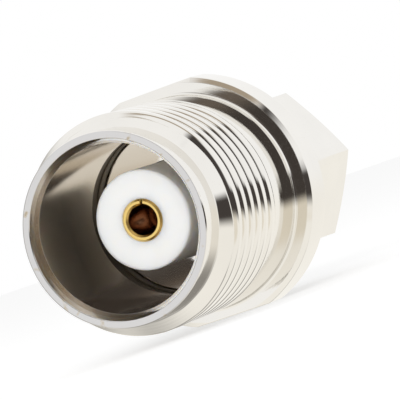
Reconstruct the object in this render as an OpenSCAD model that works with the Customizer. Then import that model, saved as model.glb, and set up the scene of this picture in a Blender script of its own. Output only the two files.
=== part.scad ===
// Coaxial adapter: a threaded jack with a flange at one end, a plug with a captive nut at the other.
// Each piece is drawn upright, with the rim of the jack at height zero, and is then laid on a wrench flat.

/* [TNC jack] */
// Outside diameter of the plain lip
lip_d = 9.7; // [9.3:0.05:10.1]
// Length of the plain lip ahead of the thread
lip_l = 1.3; // [0.8:0.1:1.8]
// Edge break on the outside of the rim
rim_break = 0.1; // [0.05:0.05:0.2]
// Outside diameter of the threaded barrel
thread_d = 11.11; // [10.7:0.01:11.5]
// Length of the taper that leads onto the thread
lead_l = 0.6; // [0.3:0.1:1]
// Length from the rim to the flange
jack_l = 10.4; // [9.8:0.1:11]
// Diameter of the mouth
mouth_d = 8.4; // [8:0.05:8.8]
// Bevel inside the rim
rim_bevel = 0.4; // [0.2:0.05:0.5]
// Depth of the mouth
mouth_depth = 8; // [7.2:0.1:8.4]
// Thickness of the web at the bottom of the mouth
web_t = 0.8; // [0.5:0.1:1.2]

/* [Flange] */
// Diameter of the round flange
flange_d = 12.9; // [12.6:0.1:13.4]
// Width across its two wrench flats
flat_af = 12.2; // [11.8:0.1:12.4]
// Thickness of the flange
flange_t = 2.2; // [1.8:0.1:3]
// Chamfer on the flange's front edge
front_chamfer = 0.25; // [0.1:0.05:0.35]
// Chamfer on the flange's back edge
back_chamfer = 0.2; // [0.1:0.05:0.4]
// Fillet where the barrel meets the flange
flange_fillet = 0.15; // [0.1:0.05:0.3]

/* [Insulators] */
// Outside diameter of the insulator that stands in the mouth
ins_d = 5.04; // [4.6:0.02:5.2]
// Depth of the insulator's face behind the rim
ins_recess = 3.65; // [3:0.05:4.5]
// Edge break of the insulator's face
ins_break = 0.1; // [0.05:0.05:0.3]
// Thickness of the insulator's back flange
ins_flange_t = 1; // [0.6:0.1:1.2]
// Diameter of the bore in the back of the body that takes the insulator's flange and the SMA shell
rear_bore_d = 6.4; // [6:0.1:7]

/* [Centre contact] */
// Outside diameter of the socket
socket_d = 2.14; // [1.9:0.02:2.4]
// How far the socket stands proud of the insulator's face
socket_proud = 0.1; // [0:0.05:0.3]
// Diameter of the socket's hole
socket_hole_d = 1.5; // [1.3:0.02:1.6]
// Depth of the socket's hole
socket_hole_depth = 4; // [3.4:0.1:4.4]
// Bevel at the mouth and outer edge of the socket
socket_bevel = 0.1; // [0.05:0.01:0.14]
// Width of the slit in the socket's wall
slit_w = 0.12; // [0.08:0.02:0.2]
// Length of the slit
slit_l = 3; // [2:0.1:3.3]
// Direction of the slit, turned up from the sideways direction
slit_turn = 72; // [0:1:180]
// Diameter of the stem inside the SMA end
stem_d = 1.27; // [1.1:0.01:1.4]
// Diameter of the SMA pin
pin_d = 0.92; // [0.88:0.01:0.96]
// Length of the SMA pin ahead of the nose
pin_l = 2.1; // [1.8:0.1:2.4]
// Length of the pin's tapered tip
pin_tip_l = 0.35; // [0.2:0.05:0.5]
// Diameter of the pin's blunt end
pin_tip_d = 0.4; // [0.2:0.05:0.6]

/* [SMA shell] */
// Bore of the shell
shell_bore_d = 4.1; // [3.9:0.05:4.2]
// Diameter of the collar that seats on the back of the flange
collar_d = 8.2; // [7.4:0.1:9]
// Thickness of the collar
collar_t = 0.4; // [0.3:0.1:1]
// Diameter of the hub that the nut turns on
hub_d = 5.2; // [5.1:0.02:5.3]
// Length of the hub
hub_l = 3.8; // [3.6:0.1:5]
// Diameter of the nose
nose_d = 4.56; // [4.5:0.02:4.7]
// Length of the nose, the gasket's thickness included
nose_l = 2.55; // [2.2:0.05:3]
// Edge break of the nose
nose_break = 0.1; // [0.05:0.01:0.12]
// Thickness of the gasket
gasket_t = 0.6; // [0.4:0.05:0.8]

/* [Retaining ring] */
// Thickness of the split ring
ring_t = 0.5; // [0.35:0.05:0.6]
// Radial width of the split ring
ring_w = 0.6; // [0.5:0.05:0.7]
// Depth of the ring's groove in the hub
hub_groove = 0.2; // [0.1:0.05:0.25]
// Angle that is open between the ring's ends
ring_gap = 50; // [20:5:90]

/* [Coupling nut] */
// Length of the nut
nut_l = 9.4; // [8.4:0.1:10]
// Width across the flats of the nut
nut_af = 8; // [7.6:0.1:8.6]
// Outside diameter of the knurled grip
knurl_d = 9.6; // [9.4:0.1:10.2]
// Length of the knurled grip
knurl_l = 3; // [2.6:0.1:4]
// Number of ridges round the grip
knurl_n = 36; // [24:1:44]
// Depth of the knurl
knurl_depth = 0.25; // [0.15:0.05:0.35]
// Chamfer at the grip's ends and on the nut's corners
nut_chamfer = 0.4; // [0.2:0.05:0.5]
// Bore of the nut's thread, at its crests
nut_thread_d = 5.7; // [5.6:0.02:5.9]
// Chamfer at the nut's mouth
nut_mouth_chamfer = 0.4; // [0.2:0.05:0.5]

/* [Fits] */
// Radial clearance of the nut on the hub
running_clear = 0.05; // [0.03:0.01:0.09]
// Gap between the nut and the collar
nut_gap = 0.15; // [0.1:0.05:0.3]
// Length of hub ahead of the nut's inner shoulder
hub_proud = 0.4; // [0.2:0.05:0.6]
// Clearance round the split ring in the nut's groove
ring_clear = 0.15; // [0.1:0.05:0.2]
// Radial clearance of the gasket in the nut
gasket_clear = 0.12; // [0.08:0.02:0.16]
// Radial clearance of pieces that are pressed together
seat_clear = 0.01; // [0.005:0.005:0.02]

/* [Hidden] */
$fn = 96;

// Length by which a cut runs past the face that it opens
past = 1;
// Number of steps in the flange's fillet
fillet_steps = 6;

nickel = [0.84, 0.82, 0.78];
ptfe = [0.95, 0.95, 0.93];
gold = [0.86, 0.66, 0.26];
bronze = [0.72, 0.50, 0.30];
silicone = [0.78, 0.30, 0.20];

// Heights above the rim of the jack
ins_s = ins_recess;
socket_s = ins_recess - socket_proud;
seat_s = mouth_depth + web_t;
spigot_s = seat_s + ins_flange_t;
flange_s = jack_l + flange_t;
collar_s = flange_s + collar_t;
hub_s = collar_s + hub_l;
nose_s = hub_s + nose_l;
pin_s = nose_s + pin_l;
ring_s = collar_s + (hub_l - ring_t)/2;
nut_s = collar_s + nut_gap;
knurl_s = nut_s + knurl_l;
shoulder_s = hub_s - hub_proud;
nut_end_s = nut_s + nut_l;

// Radii that follow from the driving sizes
lip_r = lip_d/2;
thread_r = thread_d/2;
mouth_r = mouth_d/2;
ins_r = ins_d/2;
rear_bore_r = rear_bore_d/2;
flange_r = flange_d/2;
press_r = rear_bore_r - seat_clear;
socket_r = socket_d/2;
socket_hole_r = socket_hole_d/2;
stem_r = stem_d/2;
pin_r = pin_d/2;
shell_bore_r = shell_bore_d/2;
hub_r = hub_d/2;
hub_groove_r = hub_r - hub_groove;
nose_r = nose_d/2;
ring_bore_r = hub_groove_r + seat_clear;
ring_r = ring_bore_r + ring_w;
bearing_r = hub_r + running_clear;
nut_thread_r = nut_thread_d/2;
gasket_r = nut_thread_r - gasket_clear;
knurl_r = knurl_d/2;

// Circumscribed radius of a hexagon of the given width across its flats
function hex_r(across_flats) = across_flats/2/cos(30);

// Lays an upright piece on the lower wrench flat, its rim towards -Y and its middle over the origin
module lay_down() {
    translate([0, -nut_end_s/2, flat_af/2])
        rotate([-90, 0, 0])
            children();
}

// Turned solid from an outline of radius and height
module turned(outline) {
    rotate_extrude()
        polygon(outline);
}

// Turned ring of rectangular section
module turned_ring(inner_r, outer_r, low_s, high_s) {
    turned([[inner_r, low_s], [outer_r, low_s], [outer_r, high_s], [inner_r, high_s]]);
}

// Quarter round that leads from the barrel to the flange's front face
flange_arc = [
    for (k = [0 : fillet_steps])
        let (a = 180 - 90*k/fillet_steps)
            [thread_r + flange_fillet*(1 + cos(a)), jack_l - flange_fillet*(1 - sin(a))]
];

// Outside of the jack and of the flange, before the wrench flats are cut
body_outline = concat(
    [
        [0, 0],
        [lip_r - rim_break, 0],
        [lip_r, rim_break],
        [lip_r, lip_l],
        [thread_r, lip_l + lead_l]
    ],
    flange_arc,
    [
        [flange_r - front_chamfer, jack_l],
        [flange_r, jack_l + front_chamfer],
        [flange_r, flange_s - back_chamfer],
        [flange_r - back_chamfer, flange_s],
        [0, flange_s]
    ]
);

module tnc_body() {
    color(nickel)
        lay_down()
            difference() {
                intersection() {
                    turned(body_outline);
                    translate([-flange_d/2 - past, -flat_af/2, -past])
                        cube([flange_d + 2*past, flat_af, flange_s + 2*past]);
                }
                turned([
                    [0, -past],
                    [mouth_r + rim_bevel + past, -past],
                    [mouth_r, rim_bevel],
                    [mouth_r, mouth_depth],
                    [ins_r + seat_clear, mouth_depth],
                    [ins_r + seat_clear, seat_s],
                    [rear_bore_r, seat_s],
                    [rear_bore_r, flange_s + past],
                    [0, flange_s + past]
                ]);
            }
}

module tnc_insulator() {
    color(ptfe)
        lay_down()
            turned([
                [socket_r + seat_clear, ins_s],
                [ins_r - ins_break, ins_s],
                [ins_r, ins_s + ins_break],
                [ins_r, seat_s],
                [press_r, seat_s],
                [press_r, spigot_s],
                [stem_r + seat_clear, spigot_s],
                [stem_r + seat_clear, seat_s],
                [socket_r + seat_clear, seat_s]
            ]);
}

module centre_contact() {
    hole_end_s = socket_s + socket_hole_depth;
    color(gold)
        lay_down()
            difference() {
                turned([
                    [0, socket_s],
                    [socket_r - socket_bevel, socket_s],
                    [socket_r, socket_s + socket_bevel],
                    [socket_r, seat_s],
                    [stem_r, seat_s],
                    [stem_r, nose_s],
                    [pin_r, nose_s],
                    [pin_r, pin_s - pin_tip_l],
                    [pin_tip_d/2, pin_s],
                    [0, pin_s]
                ]);
                turned([
                    [0, socket_s - past],
                    [socket_hole_r + socket_bevel + past, socket_s - past],
                    [socket_hole_r, socket_s + socket_bevel],
                    [socket_hole_r, hole_end_s - socket_hole_r],
                    [0, hole_end_s]
                ]);
                rotate([0, 0, -slit_turn])
                    translate([0, -slit_w/2, socket_s - past])
                        cube([socket_r + past, slit_w, slit_l + past]);
            }
}

module sma_shell() {
    color(nickel)
        lay_down()
            turned([
                [shell_bore_r, spigot_s],
                [press_r, spigot_s],
                [press_r, flange_s],
                [collar_d/2, flange_s],
                [collar_d/2, collar_s],
                [hub_r, collar_s],
                [hub_r, ring_s],
                [hub_groove_r, ring_s],
                [hub_groove_r, ring_s + ring_t],
                [hub_r, ring_s + ring_t],
                [hub_r, hub_s],
                [nose_r, hub_s],
                [nose_r, nose_s - nose_break],
                [nose_r - nose_break, nose_s],
                [shell_bore_r, nose_s]
            ]);
}

module sma_insulator() {
    color(ptfe)
        lay_down()
            turned_ring(stem_r + seat_clear, shell_bore_r - seat_clear, spigot_s, nose_s);
}

module retaining_ring() {
    color(bronze)
        lay_down()
            rotate_extrude(angle = 360 - ring_gap)
                polygon([
                    [ring_bore_r, ring_s],
                    [ring_r, ring_s],
                    [ring_r, ring_s + ring_t],
                    [ring_bore_r, ring_s + ring_t]
                ]);
}

module gasket() {
    color(silicone)
        lay_down()
            turned_ring(nose_r + seat_clear, gasket_r, hub_s, hub_s + gasket_t);
}

// Straight-knurled grip with its ends chamfered
module knurled_grip() {
    step = 360/knurl_n;
    root_r = knurl_r - knurl_depth;
    end_r = knurl_r - nut_chamfer;
    ridges = [
        for (i = [0 : knurl_n - 1])
            for (ridge = [[knurl_r, 0], [root_r, step/2]])
                ridge[0]*[cos(i*step + ridge[1]), sin(i*step + ridge[1])]
    ];
    intersection() {
        translate([0, 0, nut_s])
            linear_extrude(knurl_l)
                polygon(ridges);
        turned([
            [0, nut_s],
            [end_r, nut_s],
            [end_r + knurl_l/2, nut_s + knurl_l/2],
            [end_r, knurl_s],
            [0, knurl_s]
        ]);
    }
}

// Hex of the nut, its corners chamfered at the mouth
module nut_hex() {
    corner_r = hex_r(nut_af);
    hex_s = nut_s + knurl_l/2;
    slope_w = 2*nut_chamfer;
    intersection() {
        translate([0, 0, hex_s])
            cylinder(r = corner_r, h = nut_end_s - hex_s, $fn = 6);
        turned([
            [0, hex_s],
            [corner_r + slope_w, hex_s],
            [corner_r + slope_w, nut_end_s - 2*nut_chamfer],
            [corner_r - slope_w, nut_end_s],
            [0, nut_end_s]
        ]);
    }
}

module coupling_nut() {
    groove_r = ring_r + ring_clear;
    color(nickel)
        lay_down()
            difference() {
                union() {
                    knurled_grip();
                    nut_hex();
                }
                turned([
                    [0, nut_s - past],
                    [bearing_r, nut_s - past],
                    [bearing_r, ring_s - ring_clear],
                    [groove_r, ring_s - ring_clear],
                    [groove_r, ring_s + ring_t + ring_clear],
                    [bearing_r, ring_s + ring_t + ring_clear],
                    [bearing_r, shoulder_s],
                    [nut_thread_r, shoulder_s],
                    [nut_thread_r, nut_end_s - nut_mouth_chamfer],
                    [nut_thread_r + nut_mouth_chamfer + past, nut_end_s + past],
                    [0, nut_end_s + past]
                ]);
            }
}

tnc_body();
tnc_insulator();
centre_contact();
sma_shell();
sma_insulator();
retaining_ring();
gasket();
coupling_nut();
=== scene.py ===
"""Looks of a coaxial adapter: a threaded jack with a flange, and a plug with a captive nut."""
import math

import bmesh
import bpy
from mathutils import Matrix, Vector


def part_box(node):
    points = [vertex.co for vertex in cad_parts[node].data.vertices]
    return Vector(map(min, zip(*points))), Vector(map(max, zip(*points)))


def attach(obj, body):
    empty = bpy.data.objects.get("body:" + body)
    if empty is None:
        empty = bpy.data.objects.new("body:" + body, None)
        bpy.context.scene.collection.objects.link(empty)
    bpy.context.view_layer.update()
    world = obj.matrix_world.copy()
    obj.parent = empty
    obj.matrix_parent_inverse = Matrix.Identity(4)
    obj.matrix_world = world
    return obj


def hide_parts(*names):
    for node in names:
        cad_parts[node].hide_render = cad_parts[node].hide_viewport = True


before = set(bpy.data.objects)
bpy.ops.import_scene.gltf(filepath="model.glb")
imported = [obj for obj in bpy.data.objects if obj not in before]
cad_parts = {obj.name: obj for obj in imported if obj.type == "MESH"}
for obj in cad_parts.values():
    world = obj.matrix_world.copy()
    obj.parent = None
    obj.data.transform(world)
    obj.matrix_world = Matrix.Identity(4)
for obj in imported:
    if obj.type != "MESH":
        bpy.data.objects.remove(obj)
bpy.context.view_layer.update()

# Sizes below are in millimetres; Blender's are in metres
MM = 0.001
INCH = 25.4


def node_span(node):
    """Start and end of a node along the connector's axis, measured from the rim, and its radius."""
    low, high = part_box(node)
    rim_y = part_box("tnc_body")[0].y
    return (low.y - rim_y) / MM, (high.y - rim_y) / MM, (high.x - low.x) / 2 / MM


BODY_LOW, BODY_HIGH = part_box("tnc_body")
RIM_Y = BODY_LOW.y / MM
AXIS_Z = (BODY_LOW.z + BODY_HIGH.z) / 2 / MM

# Threaded jack; lengths along the axis start at the rim
FLANGE_END = node_span("tnc_body")[1]
LIP_R = 4.85
LIP_L = 1.6
RIM_BREAK = 0.05
THREAD_R = 5.555
LEAD_L = 0.6
JACK_L = 10.4
MOUTH_R = 4.2
RIM_BEVEL_R = 0.28
RIM_BEVEL_L = 0.56
MOUTH_DEPTH = 8.0
RELIEF_L = 0.85
RELIEF_DEPTH = 0.08
WEB_T = 0.8
REAR_BORE_R = 3.2

# Thread of the jack, 28 turns to the inch, which runs out softly round its end
JACK_PITCH = INCH / 28
JACK_THREAD_DEPTH = 0.42
THREAD_END = 7.35
RUN_OUT_BEFORE = 0.5
RUN_OUT_AFTER = 0.3
CREST_SHARE = 0.39
THREAD_PHASE = 0.33

# Flange with two wrench flats
FLAT_HALF = (BODY_HIGH.z - BODY_LOW.z) / 2 / MM
FLANGE_R = node_span("tnc_body")[2]
FRONT_CHAMFER = 0.25
FRONT_CHAMFER_SLOPE = math.tan(math.radians(30))
BACK_CHAMFER = 0.2
FLAT_BREAK = 0.04
FLANGE_FILLET = 0.15

# Insulators and contact
INS_START, INS_END, INS_FLANGE_R = node_span("tnc_insulator")
INS_R = 2.52
INS_ROUND = 0.15
SOCKET_START, PIN_END, SOCKET_R = node_span("centre_contact")
SOCKET_HOLE_R = 0.75
SOCKET_HOLE_DEPTH = 4.0
SOCKET_BEVEL = 0.1
SLIT_W = 0.12
SLIT_L = 3.0
SLIT_TURN = math.radians(72)
STEM_R = 0.635
PIN_R = 0.46
PIN_TIP_L = 0.35
PIN_TIP_R = 0.2
SEAT_CLEAR = 0.01
SEAT = MOUTH_DEPTH + WEB_T

# Plug shell
SHELL_START, NOSE_END, COLLAR_R = node_span("sma_shell")
COLLAR_L = 0.4
COLLAR_END = FLANGE_END + COLLAR_L
RING_START, RING_END, RING_R = node_span("retaining_ring")
GASKET_START, GASKET_END, GASKET_R = node_span("gasket")
HUB_R = 2.6
HUB_GROOVE_R = 2.4
NOSE_R = 2.28
NOSE_CHAMFER = 0.1
SHELL_BORE_R = 2.05
PLUG_INS_R = node_span("sma_insulator")[2]

# Coupling nut; its thread has 36 turns to the inch
NUT_START, NUT_END, KNURL_R = node_span("coupling_nut")
KNURL_L = 3.0
KNURL_COUNT = 36
KNURL_DEPTH = 0.25
NUT_CHAMFER = 0.4
NUT_HALF_AF = 4.0
NUT_BORE_R = 2.65
SHOULDER_GAP = 0.4
NUT_SHOULDER = GASKET_START - SHOULDER_GAP
NUT_THREAD_R = 2.85
NUT_THREAD_DEPTH = 0.22
NUT_PITCH = INCH / 36
THREAD_RELIEF = 0.12
RING_CLEAR = 0.15
NUT_SHARP = math.radians(28)

# Fineness of the round forms; a column falls on each end of the wrench flats
COLUMNS = 228
NUT_COLUMNS = 8 * KNURL_COUNT
ARC_STEPS = 4
FILLET_STEPS = 10
JACK_ROWS = 22
NUT_ROWS = 20

# Edges: their radii, the most of a side that one may take, and the straight rows held beside it
SOFT_EDGE = 0.05
FINE_EDGE = 0.02
MOST_OF_SIDE = 0.4
HOLD_SHARE = 0.35
STRAIGHT = math.radians(1)
HOLD = 0.03
LIP_HOLD = 0.25
MIN_STEP = 0.02
MIN_SINE = 0.1

# Differences in millimetres, and in metres, that count as none
NEAR = 1e-6
MERGE_DISTANCE = 1e-8


def place(r, s, turn):
    """Point at a radius, a distance from the rim and a turn round the axis, in metres."""
    return Vector((r * math.cos(turn), RIM_Y + s, AXIS_Z + r * math.sin(turn))) * MM


def rounded(outline, closed):
    """Outline of (radius, distance, edge radius) corners as points, with each corner turned into an arc."""
    count = len(outline)
    points = []
    for i, (r, s, edge) in enumerate(outline):
        here = Vector((r, s))
        if edge == 0 or (not closed and i in (0, count - 1)):
            points.append(here)
            continue
        before = Vector(outline[i - 1][:2])
        after = Vector(outline[(i + 1) % count][:2])
        into = (here - before).normalized()
        out = (after - here).normalized()
        bend = math.acos(max(-1.0, min(1.0, into.dot(out))))
        if bend < STRAIGHT:
            points.extend([here] * (ARC_STEPS + 3))
            continue
        shorter = min((here - before).length, (after - here).length)
        reach = min(edge * math.tan(bend / 2), MOST_OF_SIDE * shorter)
        hold = HOLD_SHARE * reach
        start = here - into * reach
        end = here + out * reach
        points.append(start - into * hold)
        for k in range(ARC_STEPS + 1):
            t = k / ARC_STEPS
            points.append(start.lerp(here, t).lerp(here.lerp(end, t), t))
        points.append(end + out * hold)
    return points


def fillet(mid_r, mid_s, size, start, end):
    """Quarter round about a middle point as outline corners, from one direction to another in degrees."""
    corners = []
    for k in range(FILLET_STEPS + 1):
        turn = math.radians(start + (end - start) * k / FILLET_STEPS)
        corners.append((mid_r + size * math.cos(turn), mid_s + size * math.sin(turn), 0))
    return corners


def turns(columns):
    """Turns of the columns, in the direction that a right-hand thread goes in."""
    return [-2 * math.pi * i / columns for i in range(columns)]


def add_ring(bm, points, around):
    """Ring of vertices from one outline point a column; a ring on the axis is a single vertex."""
    if all(p.x < NEAR for p in points):
        return [bm.verts.new(place(0, points[0].y, 0))]
    return [bm.verts.new(place(p.x, p.y, turn)) for p, turn in zip(points, around)]


def add_rings(bm, outline_at, columns, closed):
    """Rings of vertices from an outline that may change with the turn."""
    around = turns(columns)
    grid = [rounded(outline_at(turn), closed) for turn in around]
    return [add_ring(bm, points, around) for points in zip(*grid)]


def bridge(bm, low, high):
    """Faces between two rings; a ring of one vertex is a tip on the axis."""
    count = max(len(low), len(high))
    for i in range(count):
        k = (i + 1) % count
        corners = [low[i % len(low)], low[k % len(low)], high[k % len(high)], high[i % len(high)]]
        unique = list(dict.fromkeys(corners))
        if len(unique) > 2:
            bm.faces.new(unique)


def bridge_all(bm, rings):
    """Faces between each ring and the next."""
    for low, high in zip(rings, rings[1:]):
        bridge(bm, low, high)


def add_helix(bm, pitch, start, turn_count, radius_at, columns, rows_a_turn):
    """Helical band of vertices: column i is raised by its share of the pitch, and turns meet at the seam."""
    shares = [k / rows_a_turn for k in range(rows_a_turn)]
    heights = [start + pitch * (k + share) for k in range(turn_count) for share in shares]
    heights.append(start + pitch * turn_count)
    rows = []
    for height in heights:
        row = []
        for i, turn in enumerate(turns(columns)):
            s = height + pitch * i / columns
            row.append(bm.verts.new(place(radius_at(s, (height - start) / pitch % 1), s, turn)))
        rows.append(row)
    last = len(rows) - 1
    for j in range(last):
        for i in range(columns - 1):
            bm.faces.new([rows[j][i], rows[j][i + 1], rows[j + 1][i + 1], rows[j + 1][i]])
        above = j + rows_a_turn
        if above + 1 <= last:
            bm.faces.new([rows[j][-1], rows[above][0], rows[above + 1][0], rows[j + 1][-1]])
    return rows


def join_helix(bm, low_ring, rows, rows_a_turn, high_ring):
    """Faces that join the stepped ends of a helical band to the plain rings before and after it."""
    for i in range(len(low_ring) - 1):
        bm.faces.new([low_ring[i], low_ring[i + 1], rows[0][i + 1], rows[0][i]])
        bm.faces.new([rows[-1][i], rows[-1][i + 1], high_ring[i + 1], high_ring[i]])
    start_column = [row[0] for row in rows[:rows_a_turn + 1]]
    bm.faces.new([low_ring[-1], low_ring[0], *start_column, rows[0][-1]])
    end_column = [row[-1] for row in rows[-1 - rows_a_turn:]]
    bm.faces.new([*end_column, high_ring[-1], high_ring[0], rows[-1][0]])


def finish_piece(bm, name, material, body, node, sharp_angle=None):
    """Turns the mesh into a shaded object for a node of the frame; edges past the angle stay crisp."""
    bmesh.ops.remove_doubles(bm, verts=bm.verts, dist=MERGE_DISTANCE)
    bmesh.ops.recalc_face_normals(bm, faces=bm.faces)
    mesh = bpy.data.meshes.new(name)
    for face in bm.faces:
        face.smooth = True
    bm.to_mesh(mesh)
    bm.free()
    if sharp_angle is not None:
        mesh.set_sharp_from_angle(angle=sharp_angle)
    obj = bpy.data.objects.new(name, mesh)
    bpy.context.collection.objects.link(obj)
    mesh.materials.append(material)
    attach(obj, body)
    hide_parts(node)


def lathe(name, outline, material, body, node):
    """Turned piece from a closed outline that keeps clear of the axis."""
    bm = bmesh.new()
    rings = add_rings(bm, lambda turn: outline, COLUMNS, True)
    bridge_all(bm, [*rings, rings[0]])
    finish_piece(bm, name, material, body, node)


def hex_radius(half_across_flats, turn):
    """Radius of a hexagon with a corner at turn zero."""
    side = math.pi / 3
    return half_across_flats / math.cos(turn % side - side / 2)


def smooth_step(low, high, x):
    """Zero below low, one above high, with a soft change between."""
    t = max(0.0, min(1.0, (x - low) / (high - low)))
    return t * t * (3 - 2 * t)


def groove(share):
    """Depth of a thread groove, from 0 on the crest to 1 at its rounded root, across one turn."""
    across = abs(share - 0.5) / (0.5 - CREST_SHARE / 2)
    if across >= 1:
        return 0.0
    return 0.5 + 0.5 * math.cos(math.pi * across)


def build_body(material):
    """Jack body: lip, helical thread, flange with its flats, rear bore and mouth."""
    bm = bmesh.new()
    barrel_end = JACK_L - FLANGE_FILLET - HOLD

    def outline(turn):
        side_r = min(FLANGE_R, FLAT_HALF / max(abs(math.sin(turn)), MIN_SINE))
        front_r = min(side_r - FLAT_BREAK, FLANGE_R - FRONT_CHAMFER)
        back_r = min(side_r - FLAT_BREAK, FLANGE_R - BACK_CHAMFER)
        return [
            (THREAD_R, barrel_end, 0),
            *fillet(THREAD_R + FLANGE_FILLET, JACK_L - FLANGE_FILLET, FLANGE_FILLET, 180, 90),
            (THREAD_R + FLANGE_FILLET + HOLD, JACK_L, 0),
            (front_r, JACK_L, SOFT_EDGE),
            (side_r, JACK_L + FRONT_CHAMFER_SLOPE * (side_r - front_r), SOFT_EDGE),
            (side_r, FLANGE_END - (side_r - back_r), SOFT_EDGE),
            (back_r, FLANGE_END, SOFT_EDGE),
            (REAR_BORE_R, FLANGE_END, FINE_EDGE),
            (REAR_BORE_R, SEAT, FINE_EDGE),
            (INS_R + SEAT_CLEAR, SEAT, FINE_EDGE),
            (INS_R + SEAT_CLEAR, MOUTH_DEPTH, FINE_EDGE),
            (MOUTH_R + RELIEF_DEPTH, MOUTH_DEPTH, FINE_EDGE),
            (MOUTH_R + RELIEF_DEPTH, MOUTH_DEPTH - RELIEF_L, FINE_EDGE),
            (MOUTH_R, MOUTH_DEPTH - RELIEF_L, FINE_EDGE),
            (MOUTH_R, RIM_BEVEL_L, SOFT_EDGE),
            (MOUTH_R + RIM_BEVEL_R, 0, SOFT_EDGE),
            (LIP_R - RIM_BREAK, 0, FINE_EDGE),
            (LIP_R, RIM_BREAK, FINE_EDGE),
            (LIP_R, LIP_HOLD, 0),
        ]

    rings = add_rings(bm, outline, COLUMNS, False)
    bridge_all(bm, rings)
    # The ends of the wrench flats are crisp edges
    flat_end = math.asin(FLAT_HALF / FLANGE_R)
    for turn in (flat_end, math.pi - flat_end, math.pi + flat_end, 2 * math.pi - flat_end):
        column = round(turn / (2 * math.pi) * COLUMNS)
        for low, high in zip(rings, rings[1:]):
            edge = bm.edges.get((low[column], high[column]))
            middle = (low[column].co + high[column].co) / 2 / MM
            if math.hypot(middle.x, middle.z - AXIS_Z) > FLANGE_R - FRONT_CHAMFER:
                edge.smooth = False

    def radius_at(s, share):
        lead = max(0.0, min(1.0, (s - LIP_L) / LEAD_L))
        envelope = LIP_R + (THREAD_R - LIP_R) * lead
        run_out = 1 - smooth_step(THREAD_END - RUN_OUT_BEFORE, THREAD_END + RUN_OUT_AFTER, s)
        return min(envelope, THREAD_R - JACK_THREAD_DEPTH * run_out * groove((share + THREAD_PHASE) % 1))

    start = LIP_HOLD + HOLD
    turn_count = math.floor((barrel_end - start) / JACK_PITCH) - 1
    rows = add_helix(bm, JACK_PITCH, start, turn_count, radius_at, COLUMNS, JACK_ROWS)
    join_helix(bm, rings[-1], rows, JACK_ROWS, rings[0])
    finish_piece(bm, "jack_body", material, "adapter", "tnc_body")


def build_contact(material):
    """Gold contact: a slit socket at one end and a pin at the other."""
    bm = bmesh.new()
    slit_end = SOCKET_START + SLIT_L
    hole_end = SOCKET_START + SOCKET_HOLE_DEPTH
    points = rounded([
        (0, hole_end, 0),
        (SOCKET_HOLE_R, hole_end - SOCKET_HOLE_R, FINE_EDGE),
        (SOCKET_HOLE_R, slit_end, 0),
        (SOCKET_HOLE_R, SOCKET_START + SOCKET_BEVEL, FINE_EDGE),
        (SOCKET_HOLE_R + SOCKET_BEVEL, SOCKET_START, FINE_EDGE),
        (SOCKET_R - SOCKET_BEVEL, SOCKET_START, FINE_EDGE),
        (SOCKET_R, SOCKET_START + SOCKET_BEVEL, FINE_EDGE),
        (SOCKET_R, slit_end, 0),
        (SOCKET_R, SEAT, FINE_EDGE),
        (STEM_R, SEAT, FINE_EDGE),
        (STEM_R, NOSE_END, FINE_EDGE),
        (PIN_R, NOSE_END, FINE_EDGE),
        (PIN_R, PIN_END - PIN_TIP_L, SOFT_EDGE),
        (PIN_TIP_R, PIN_END, SOFT_EDGE),
        (0, PIN_END, 0),
    ], False)
    # The first and last columns stand at the sides of the slit
    half_slit = SLIT_W / (SOCKET_R + SOCKET_HOLE_R)
    arc = 2 * math.pi - 2 * half_slit
    around = [SLIT_TURN + half_slit + arc * i / (COLUMNS - 1) for i in range(COLUMNS)]
    rings = [add_ring(bm, [p] * COLUMNS, around) for p in points]
    ends = [j for j, p in enumerate(points) if abs(p.y - slit_end) < NEAR]
    first, last = min(ends), max(ends)
    for j, (low, high) in enumerate(zip(rings, rings[1:])):
        if first <= j < last:
            for i in range(COLUMNS - 1):
                bm.faces.new([low[i], low[i + 1], high[i + 1], high[i]])
        else:
            bridge(bm, low, high)
    for column in (0, -1):
        bm.faces.new([rings[j][column] for j in range(first, last + 1)])
    bm.faces.new([rings[first][0], rings[first][-1], rings[last][-1], rings[last][0]])
    finish_piece(bm, "contact", material, "adapter", "centre_contact")


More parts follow.
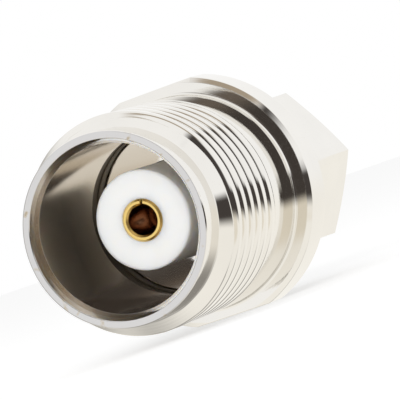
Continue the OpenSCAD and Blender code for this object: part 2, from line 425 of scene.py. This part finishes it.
def build_nut(material):
    """Coupling nut: knurled grip, hex, bearing bore with the ring's groove, and the inner thread."""
    bm = bmesh.new()
    knurl_end = NUT_START + KNURL_L
    groove_r = RING_R + RING_CLEAR
    end_r = KNURL_R - NUT_CHAMFER
    mouth_r = hex_radius(NUT_HALF_AF, 0) - 2 * NUT_CHAMFER
    thread_start = NUT_SHOULDER + THREAD_RELIEF
    thread_end = NUT_END - NUT_CHAMFER

    def outline(turn):
        step = 2 * math.pi / KNURL_COUNT
        tooth = abs((turn / step) % 1 - 0.5) * 2
        grip_r = KNURL_R - KNURL_DEPTH * (1 - tooth)
        slope = max(grip_r - end_r, MIN_STEP)
        side_r = hex_radius(NUT_HALF_AF, turn)
        return [
            (NUT_THREAD_R, thread_start, 0),
            (NUT_THREAD_R, NUT_SHOULDER, FINE_EDGE),
            (NUT_BORE_R, NUT_SHOULDER, FINE_EDGE),
            (NUT_BORE_R, RING_END + RING_CLEAR, FINE_EDGE),
            (groove_r, RING_END + RING_CLEAR, FINE_EDGE),
            (groove_r, RING_START - RING_CLEAR, FINE_EDGE),
            (NUT_BORE_R, RING_START - RING_CLEAR, FINE_EDGE),
            (NUT_BORE_R, NUT_START, SOFT_EDGE),
            (end_r, NUT_START, SOFT_EDGE),
            (grip_r, NUT_START + slope, SOFT_EDGE),
            (grip_r, knurl_end - slope, SOFT_EDGE),
            (end_r, knurl_end, SOFT_EDGE),
            (min(side_r, end_r - MIN_STEP), knurl_end, SOFT_EDGE),
            (side_r, NUT_END - (side_r - mouth_r) / 2, SOFT_EDGE),
            (mouth_r, NUT_END, SOFT_EDGE),
            (NUT_THREAD_R + NUT_CHAMFER, NUT_END, SOFT_EDGE),
            (NUT_THREAD_R, thread_end, 0),
        ]

    rings = add_rings(bm, outline, NUT_COLUMNS, False)
    bridge_all(bm, rings)

    def radius_at(s, share):
        run_in = smooth_step(thread_start, thread_start + NUT_PITCH, s)
        run_out = 1 - smooth_step(thread_end - NUT_PITCH, thread_end, s)
        return NUT_THREAD_R + NUT_THREAD_DEPTH * groove(share) * run_in * run_out

    start = thread_start + HOLD
    turn_count = math.floor((thread_end - start) / NUT_PITCH) - 1
    rows = add_helix(bm, NUT_PITCH, start, turn_count, radius_at, NUT_COLUMNS, NUT_ROWS)
    join_helix(bm, rings[0], rows, NUT_ROWS, rings[-1])
    finish_piece(bm, "nut", material, "nut", "coupling_nut", NUT_SHARP)


# Colours of the materials
NICKEL_COLOUR = (0.84, 0.82, 0.78)
# Painted shade: a darker nickel for the mouth's wall, and darker still for its relief
WALL_SHADE_COLOUR = (0.68, 0.62, 0.55)
RELIEF_SHADE_COLOUR = (0.22, 0.19, 0.15)
RIM_COLOUR = (0.68, 0.67, 0.665)
WORN_COLOUR = (0.62, 0.52, 0.36)
GOLD_COLOUR = (0.86, 0.62, 0.22)
# Painted shade inside the socket's hole
HOLE_SHADE_COLOUR = (0.55, 0.38, 0.27)
BRONZE_COLOUR = (0.66, 0.44, 0.25)
PTFE_COLOUR = (0.93, 0.93, 0.91)
SILICONE_COLOUR = (0.72, 0.22, 0.13)

# Roughness of the materials, and how much wear and the mouth's wall add to it
NICKEL_ROUGH = 0.05
GOLD_ROUGH = 0.16
BRONZE_ROUGH = 0.3
PTFE_ROUGH = 0.35
SILICONE_ROUGH = 0.6
WORN_ROUGH = 0.35
WALL_ROUGH = 0.08

# Mottle of the metals and plastics: its scale, and the factors it gives to tone and roughness
METAL_MOTTLE = 350
METAL_DETAIL = 4
METAL_TONES = (0.97, 1.07)
METAL_GLOSS = (0.7, 1.3)
PLASTIC_MOTTLE = 500
PLASTIC_TONES = (0.95, 1)

# Turning marks of the metals, and worn specks near the rim
MARKS_SCALE = 9
MARKS_STRENGTH = 0.05
MARKS_DEPTH = 0.00002
SPECK_SCALE = 1500
SPECK_EDGE = (0.6, 0.75)
SPECK_REACH = 0.12

# Light inside the PTFE
PTFE_WEIGHT = 0.7
PTFE_RADIUS = (1, 0.9, 0.75)
PTFE_SCALE = 0.001


class Nodes:
    """Shader nodes of a material or a world, with short ways to add the common ones."""

    def __init__(self, owner):
        owner.use_nodes = True
        self.nodes = owner.node_tree.nodes
        self.links = owner.node_tree.links

    def add(self, kind, values=None):
        """New node with some of its inputs set by name."""
        node = self.nodes.new(kind)
        for name, value in (values or {}).items():
            node.inputs[name].default_value = value
        return node

    def math(self, operation, first, second=0):
        """Result of a math node; each input is an output or a number."""
        node = self.add("ShaderNodeMath")
        node.operation = operation
        for socket, value in zip(node.inputs, (first, second)):
            if isinstance(value, (int, float)):
                socket.default_value = value
            else:
                self.links.new(value, socket)
        return node.outputs[0]

    def product(self, shares):
        """All shares multiplied together."""
        result = shares[0]
        for share in shares[1:]:
            result = self.math("MULTIPLY", result, share)
        return result

    def mix(self, share, first, second):
        """Colour between an output or a fixed colour and another, by a share."""
        node = self.add("ShaderNodeMix")
        node.data_type = "RGBA"
        self.links.new(share, node.inputs["Factor"])
        for colour, socket in ((first, node.inputs["A"]), (second, node.inputs["B"])):
            if isinstance(colour, tuple):
                socket.default_value = [*colour, 1]
            else:
                self.links.new(colour, socket)
        return node.outputs["Result"]

    def span(self, share, low, high):
        """Value that goes evenly from low to high as a share goes from 0 to 1."""
        node = self.add("ShaderNodeMapRange", {"To Min": low, "To Max": high})
        self.links.new(share, node.inputs["Value"])
        return node.outputs["Result"]

    def edge(self, value, low, high):
        """Share that goes softly from 0 to 1 as a value goes from low to high."""
        node = self.add("ShaderNodeMapRange", {"From Min": low, "From Max": high})
        node.interpolation_type = "SMOOTHSTEP"
        self.links.new(value, node.inputs["Value"])
        return node.outputs["Result"]

    def split(self, space):
        """Coordinates of a shaded point or a direction in a space, as three outputs."""
        node = self.add("ShaderNodeSeparateXYZ")
        self.links.new(self.add("ShaderNodeTexCoord").outputs[space], node.inputs["Vector"])
        return [node.outputs[axis] for axis in "XYZ"]

    def noise(self, values):
        """Noise in object coordinates, with inputs set by name."""
        node = self.add("ShaderNodeTexNoise", values)
        self.links.new(self.add("ShaderNodeTexCoord").outputs["Object"], node.inputs["Vector"])
        return node.outputs["Fac"]

    def ramp(self, share, colour, factors):
        """Colour that goes from one factor of a base colour to another."""
        node = self.add("ShaderNodeValToRGB")
        for element, factor in zip(node.color_ramp.elements, factors):
            element.color = [*(factor * c for c in colour), 1]
        self.links.new(share, node.inputs["Fac"])
        return node.outputs["Color"]


def new_material(name):
    """Material with its nodes and its principled shader's inputs."""
    material = bpy.data.materials.new(name)
    tree = Nodes(material)
    return material, tree, tree.nodes["Principled BSDF"].inputs


def axis_places(tree):
    """Distance from the rim and distance from the axis, both in millimetres, of a shaded point."""
    x, y, z = tree.split("Object")
    from_rim = tree.math("SUBTRACT", y, RIM_Y * MM)
    height = tree.math("SUBTRACT", z, AXIS_Z * MM)
    squares = tree.math("ADD", tree.math("MULTIPLY", x, x), tree.math("MULTIPLY", height, height))
    return tree.math("DIVIDE", from_rim, MM), tree.math("DIVIDE", tree.math("SQRT", squares), MM)


def metal(name, colour, roughness):
    """Plated metal with faint variation of tone and gloss, and fine turning marks round the axis."""
    material, tree, inputs = new_material(name)
    inputs["Metallic"].default_value = 1.0
    mottle = tree.noise({"Scale": METAL_MOTTLE, "Detail": METAL_DETAIL})
    tree.links.new(tree.ramp(mottle, colour, METAL_TONES), inputs["Base Color"])
    gloss = tree.span(mottle, *(factor * roughness for factor in METAL_GLOSS))
    tree.links.new(gloss, inputs["Roughness"])
    from_rim, from_axis = axis_places(tree)
    flat_place = tree.add("ShaderNodeCombineXYZ")
    tree.links.new(from_rim, flat_place.inputs["X"])
    tree.links.new(from_axis, flat_place.inputs["Y"])
    marks = tree.add("ShaderNodeTexNoise", {"Scale": MARKS_SCALE})
    marks.noise_dimensions = "2D"
    tree.links.new(flat_place.outputs["Vector"], marks.inputs["Vector"])
    bump = tree.add("ShaderNodeBump", {"Strength": MARKS_STRENGTH, "Distance": MARKS_DEPTH})
    tree.links.new(marks.outputs["Fac"], bump.inputs["Height"])
    tree.links.new(bump.outputs["Normal"], inputs["Normal"])
    return material, tree, inputs, from_rim, from_axis


def nickel():
    """Bright nickel plate: rougher inside the mouth, with painted shade that darkens its wall and darkens
    its relief most, and worn specks at the rim.
    """
    material, tree, inputs, from_rim, from_axis = metal("nickel", NICKEL_COLOUR, NICKEL_ROUGH)
    # Mouth's wall: rougher, and darker by painted shade
    wall = tree.product([
        tree.math("GREATER_THAN", from_axis, MOUTH_R - FINE_EDGE),
        tree.math("LESS_THAN", from_axis, MOUTH_R + 2 * RELIEF_DEPTH),
        tree.math("LESS_THAN", from_rim, MOUTH_DEPTH),
        tree.math("GREATER_THAN", from_rim, RIM_BEVEL_L / 2),
    ])
    # Relief at the back of the mouth: rougher, and darkest by painted shade
    relief = tree.product([
        wall,
        tree.math("GREATER_THAN", from_axis, MOUTH_R + RELIEF_DEPTH / 2),
        tree.math("GREATER_THAN", from_rim, MOUTH_DEPTH - RELIEF_L - FINE_EDGE),
    ])
    rim = tree.math("LESS_THAN", from_rim, FINE_EDGE)
    speck = tree.edge(tree.noise({"Scale": SPECK_SCALE}), *SPECK_EDGE)
    worn = tree.math("MULTIPLY", tree.math("LESS_THAN", from_rim, SPECK_REACH), speck)
    colour = inputs["Base Color"].links[0].from_socket
    # The wall and relief colours are painted shade; the worn specks are wear
    for share, other in (
        (wall, WALL_SHADE_COLOUR),
        (relief, RELIEF_SHADE_COLOUR),
        (rim, RIM_COLOUR),
        (worn, WORN_COLOUR),
    ):
        colour = tree.mix(share, colour, other)
    tree.links.new(colour, inputs["Base Color"])
    gloss = inputs["Roughness"].links[0].from_socket
    rougher = tree.math("MULTIPLY", tree.math("ADD", relief, worn), WORN_ROUGH)
    rougher = tree.math("ADD", rougher, tree.math("MULTIPLY", wall, WALL_ROUGH))
    tree.links.new(tree.math("ADD", gloss, rougher), inputs["Roughness"])
    return material


def gold():
    """Gold plate with painted shade, a darker brown, inside the socket's hole."""
    material, tree, inputs, from_rim, from_axis = metal("gold", GOLD_COLOUR, GOLD_ROUGH)
    hole = tree.product([
        tree.math("LESS_THAN", from_axis, SOCKET_HOLE_R + FINE_EDGE),
        tree.math("GREATER_THAN", from_rim, SOCKET_START + SOCKET_BEVEL),
        tree.math("LESS_THAN", from_rim, SEAT),
    ])
    # Painted shade: the gold inside the hole is mixed to a darker brown
    colour = inputs["Base Color"].links[0].from_socket
    tree.links.new(tree.mix(hole, colour, HOLE_SHADE_COLOUR), inputs["Base Color"])
    return material


def plastic(name, colour, roughness):
    """Smooth plastic or rubber with a faint mottle."""
    material, tree, inputs = new_material(name)
    mottle = tree.noise({"Scale": PLASTIC_MOTTLE})
    tree.links.new(tree.ramp(mottle, colour, PLASTIC_TONES), inputs["Base Color"])
    inputs["Roughness"].default_value = roughness
    return material, inputs


def ptfe():
    """White PTFE that lets a little light into its surface."""
    material, inputs = plastic("ptfe", PTFE_COLOUR, PTFE_ROUGH)
    inputs["Subsurface Weight"].default_value = PTFE_WEIGHT
    inputs["Subsurface Radius"].default_value = PTFE_RADIUS
    inputs["Subsurface Scale"].default_value = PTFE_SCALE
    return material


NICKEL = nickel()
GOLD = gold()
BRONZE = metal("bronze", BRONZE_COLOUR, BRONZE_ROUGH)[0]
PTFE = ptfe()
SILICONE = plastic("silicone", SILICONE_COLOUR, SILICONE_ROUGH)[0]

build_body(NICKEL)
build_contact(GOLD)
build_nut(NICKEL)
lathe("jack_insulator", [
    (SOCKET_R + SEAT_CLEAR, INS_START, FINE_EDGE),
    (INS_R, INS_START, INS_ROUND),
    (INS_R, SEAT, FINE_EDGE),
    (INS_FLANGE_R, SEAT, FINE_EDGE),
    (INS_FLANGE_R, INS_END, FINE_EDGE),
    (STEM_R + SEAT_CLEAR, INS_END, FINE_EDGE),
    (STEM_R + SEAT_CLEAR, SEAT, FINE_EDGE),
    (SOCKET_R + SEAT_CLEAR, SEAT, FINE_EDGE),
], PTFE, "adapter", "tnc_insulator")
lathe("plug_shell", [
    (SHELL_BORE_R, SHELL_START, FINE_EDGE),
    (INS_FLANGE_R, SHELL_START, FINE_EDGE),
    (INS_FLANGE_R, FLANGE_END, FINE_EDGE),
    (COLLAR_R, FLANGE_END, SOFT_EDGE),
    (COLLAR_R, COLLAR_END, SOFT_EDGE),
    (HUB_R, COLLAR_END, SOFT_EDGE),
    (HUB_R, RING_START, FINE_EDGE),
    (HUB_GROOVE_R, RING_START, FINE_EDGE),
    (HUB_GROOVE_R, RING_END, FINE_EDGE),
    (HUB_R, RING_END, FINE_EDGE),
    (HUB_R, GASKET_START, FINE_EDGE),
    (NOSE_R, GASKET_START, FINE_EDGE),
    (NOSE_R, NOSE_END - NOSE_CHAMFER, SOFT_EDGE),
    (NOSE_R - NOSE_CHAMFER, NOSE_END, SOFT_EDGE),
    (SHELL_BORE_R, NOSE_END, FINE_EDGE),
], NICKEL, "adapter", "sma_shell")
lathe("plug_insulator", [
    (STEM_R + SEAT_CLEAR, SHELL_START, FINE_EDGE),
    (PLUG_INS_R, SHELL_START, FINE_EDGE),
    (PLUG_INS_R, NOSE_END, FINE_EDGE),
    (STEM_R + SEAT_CLEAR, NOSE_END, FINE_EDGE),
], PTFE, "adapter", "sma_insulator")
lathe("seal", [
    (NOSE_R + SEAT_CLEAR, GASKET_START, SOFT_EDGE),
    (GASKET_R, GASKET_START, SOFT_EDGE),
    (GASKET_R, GASKET_END, SOFT_EDGE),
    (NOSE_R + SEAT_CLEAR, GASKET_END, SOFT_EDGE),
], SILICONE, "adapter", "gasket")
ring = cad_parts["retaining_ring"]
ring.data.materials.clear()
ring.data.materials.append(BRONZE)

# Camera at the photograph's viewing angle; distances in millimetres, its clipping in metres
CAMERA_AZIMUTH = math.radians(22.79)
CAMERA_ELEVATION = math.radians(-0.27)
CAMERA_ROLL = math.radians(-19.31)
CAMERA_DISTANCE = 177.63
CAMERA_AIM = Vector((1.121, -2.529, 6.125))
CAMERA_LENS = 316.4
CAMERA_SENSOR = 36
CAMERA_CLIP = (0.005, 20)

# Floor and lamp, in metres and watts
FLOOR_SIZE = 4
FLOOR_COLOUR = (0.9, 0.9, 0.9)
FLOOR_ROUGH = 0.9
FLOOR_GLOW = 0.45
KEY_PLACE = (0.13, -0.38, 0.07)
KEY_TARGET = (0, -0.006, 0.006)
KEY_SIZE = 0.2
KEY_POWER = 1.35

# Colours of the studio that the metal mirrors, and the level of its plain light
WHITE = (1, 1, 1)
IVORY = (0.98, 0.96, 0.91)
BEIGE = (0.85, 0.8, 0.7)
GREY = (0.32, 0.31, 0.295)
DARK = (0.06, 0.052, 0.048)
BROWN = (0.15, 0.125, 0.105)
TAN = (0.42, 0.35, 0.27)
WORLD_LIGHT = 0.55

# Parts of the studio: each fades in between two values of every measure of direction listed for it
TABLE = [("below", 0, 0.25)]
LOW_BACK = [("below", 0.6, 0.95), ("back", -0.3, 0.05)]
FAR_LEFT = [("left", 0.6, 0.95)]
LOW_FRONT = [
    ("below", 0, 0.15),
    ("above", -0.46, -0.4),
    ("front", 0, 0.4),
    ("right", -0.02, 0.15),
    ("left", -0.6, -0.45),
]
HIGH_FRONT = [("above", 0.45, 0.57), ("front", 0.5, 0.6), ("back", -0.74, -0.69), ("right", -0.2, 0)]
ROOM = [("past left", -0.1, 0.1), ("front", 0.05, 0.3)]
ROOM_TOP = [("raised below", -0.44, -0.4)]
STEEP_TOP = [("fall", -0.75, -0.6)]
WINDOW = [("right", 0.45, 0.62), ("slope", -0.08, 0.02), ("fall", -0.9, -0.72)]
STRIP = [("sunk fall", -0.09, 0.13), ("right", 0, 0.15), ("front", -0.15, 0.1)]
ABOVE_TABLE = [("slope", -0.37, -0.23)]
BROWN_SIDE = [("left", -0.1, 0.13), ("below", -0.4, -0.37)]

# Slant of the room's left side, rise of its top to the left, and sink of the strip's top to the right
ROOM_SLANT = 0.28
ROOM_RISE = 0.12
RISE_EDGE = (-0.2, 0)
STRIP_SINK = 0.09
SINK_EDGE = (0.6, 0.8)

# Sideways part of the camera's direction: past it, round forms mirror the studio at their own slope
VIEW_SHIFT = math.sin(CAMERA_AZIMUTH)
MIN_REACH = 0.05


def add_object(name, data):
    """New object in the scene."""
    obj = bpy.data.objects.new(name, data)
    bpy.context.collection.objects.link(obj)
    return obj


def add_camera():
    """Long-lens camera with the roll that the part shows."""
    data = bpy.data.cameras.new("camera")
    data.lens = CAMERA_LENS
    data.sensor_width = CAMERA_SENSOR
    data.clip_start, data.clip_end = CAMERA_CLIP
    camera = add_object("camera", data)
    back = Vector((
        math.sin(CAMERA_AZIMUTH) * math.cos(CAMERA_ELEVATION),
        -math.cos(CAMERA_AZIMUTH) * math.cos(CAMERA_ELEVATION),
        math.sin(CAMERA_ELEVATION),
    ))
    turn = (-back).to_track_quat("-Z", "Y").to_matrix() @ Matrix.Rotation(CAMERA_ROLL, 3, "Z")
    camera.matrix_world = Matrix.Translation((CAMERA_AIM + back * CAMERA_DISTANCE) * MM) @ turn.to_4x4()
    bpy.context.scene.camera = camera


def add_floor():
    """Pale floor that shows as white to the camera, keeps the part's shadow and isn't mirrored."""
    material, tree, inputs = new_material("floor")
    inputs["Base Color"].default_value = [*FLOOR_COLOUR, 1]
    inputs["Roughness"].default_value = FLOOR_ROUGH
    inputs["Specular IOR Level"].default_value = 0
    inputs["Emission Color"].default_value = [*WHITE, 1]
    path = tree.add("ShaderNodeLightPath")
    glow = tree.math("MULTIPLY", path.outputs["Is Camera Ray"], FLOOR_GLOW)
    tree.links.new(glow, inputs["Emission Strength"])
    mesh = bpy.data.meshes.new("floor")
    half = FLOOR_SIZE / 2
    corners = [(-half, -half, 0), (half, -half, 0), (half, half, 0), (-half, half, 0)]
    mesh.from_pydata(corners, [], [(0, 1, 2, 3)])
    mesh.materials.append(material)
    floor = add_object("floor", mesh)
    floor.visible_glossy = False


def surroundings(tree):
    """Colour that the metal mirrors: a white studio, ivory and beige low down, with a dark room in front."""
    right, back, above = tree.split("Generated")
    left, front, below = (tree.math("MULTIPLY", side, -1) for side in (right, back, above))
    reach = tree.math("MAXIMUM", tree.math("ADD", right, VIEW_SHIFT), MIN_REACH)
    slope = tree.math("DIVIDE", above, reach)
    fall = tree.math("MULTIPLY", slope, -1)
    slant = tree.math("MULTIPLY", front, ROOM_SLANT)
    rise = tree.math("MULTIPLY", tree.edge(left, *RISE_EDGE), ROOM_RISE)
    sink = tree.math("MULTIPLY", tree.edge(right, *SINK_EDGE), STRIP_SINK)
    measures = {
        "right": right,
        "left": left,
        "back": back,
        "front": front,
        "above": above,
        "below": below,
        "slope": slope,
        "fall": fall,
        "past left": tree.math("ADD", right, slant),
        "raised below": tree.math("ADD", below, rise),
        "sunk fall": tree.math("SUBTRACT", fall, sink),
    }

    def share(part):
        return tree.product([tree.edge(measures[name], low, high) for name, low, high in part])

    colour = WHITE
    for part, other in (
        (TABLE, IVORY),
        (LOW_BACK, GREY),
        (FAR_LEFT, GREY),
        (LOW_FRONT, BEIGE),
        (HIGH_FRONT, TAN),
    ):
        colour = tree.mix(share(part), colour, other)
    outside_window = tree.math("SUBTRACT", 1, share(WINDOW))
    below_top = tree.math("MAXIMUM", share(ROOM_TOP), share(STEEP_TOP))
    room = tree.product([share(ROOM), outside_window, below_top])
    dark = tree.math("MULTIPLY", tree.math("MAXIMUM", room, share(STRIP)), share(ABOVE_TABLE))
    colour = tree.mix(dark, colour, DARK)
    return tree.mix(tree.math("MULTIPLY", dark, share(BROWN_SIDE)), colour, BROWN)


def add_world():
    """Studio that the metal mirrors, white to the eye, with a plain level of light."""
    world = bpy.data.worlds.new("studio")
    bpy.context.scene.world = world
    tree = Nodes(world)
    path = tree.add("ShaderNodeLightPath").outputs
    undiffused = tree.math("LESS_THAN", path["Diffuse Depth"], 0.5)
    mirrored = tree.math("MULTIPLY", path["Is Glossy Ray"], undiffused)
    seen = tree.math("MAXIMUM", path["Is Camera Ray"], mirrored)
    seen = tree.math("MAXIMUM", path["Is Transmission Ray"], seen)
    background = tree.nodes["Background"].inputs
    tree.links.new(tree.span(seen, WORLD_LIGHT, 1.0), background["Strength"])
    tree.links.new(tree.mix(mirrored, WHITE, surroundings(tree)), background["Color"])


def add_key_light():
    """Soft box that the metal doesn't mirror."""
    data = bpy.data.lights.new("key", "AREA")
    data.shape = "SQUARE"
    data.size = KEY_SIZE
    data.energy = KEY_POWER
    light = add_object("key", data)
    light.visible_glossy = False
    light.location = KEY_PLACE
    light.rotation_mode = "QUATERNION"
    light.rotation_quaternion = (Vector(KEY_TARGET) - Vector(KEY_PLACE)).to_track_quat("-Z", "Y")


bpy.context.scene.view_settings.view_transform = "Standard"
add_camera()
add_world()
add_floor()
add_key_light()
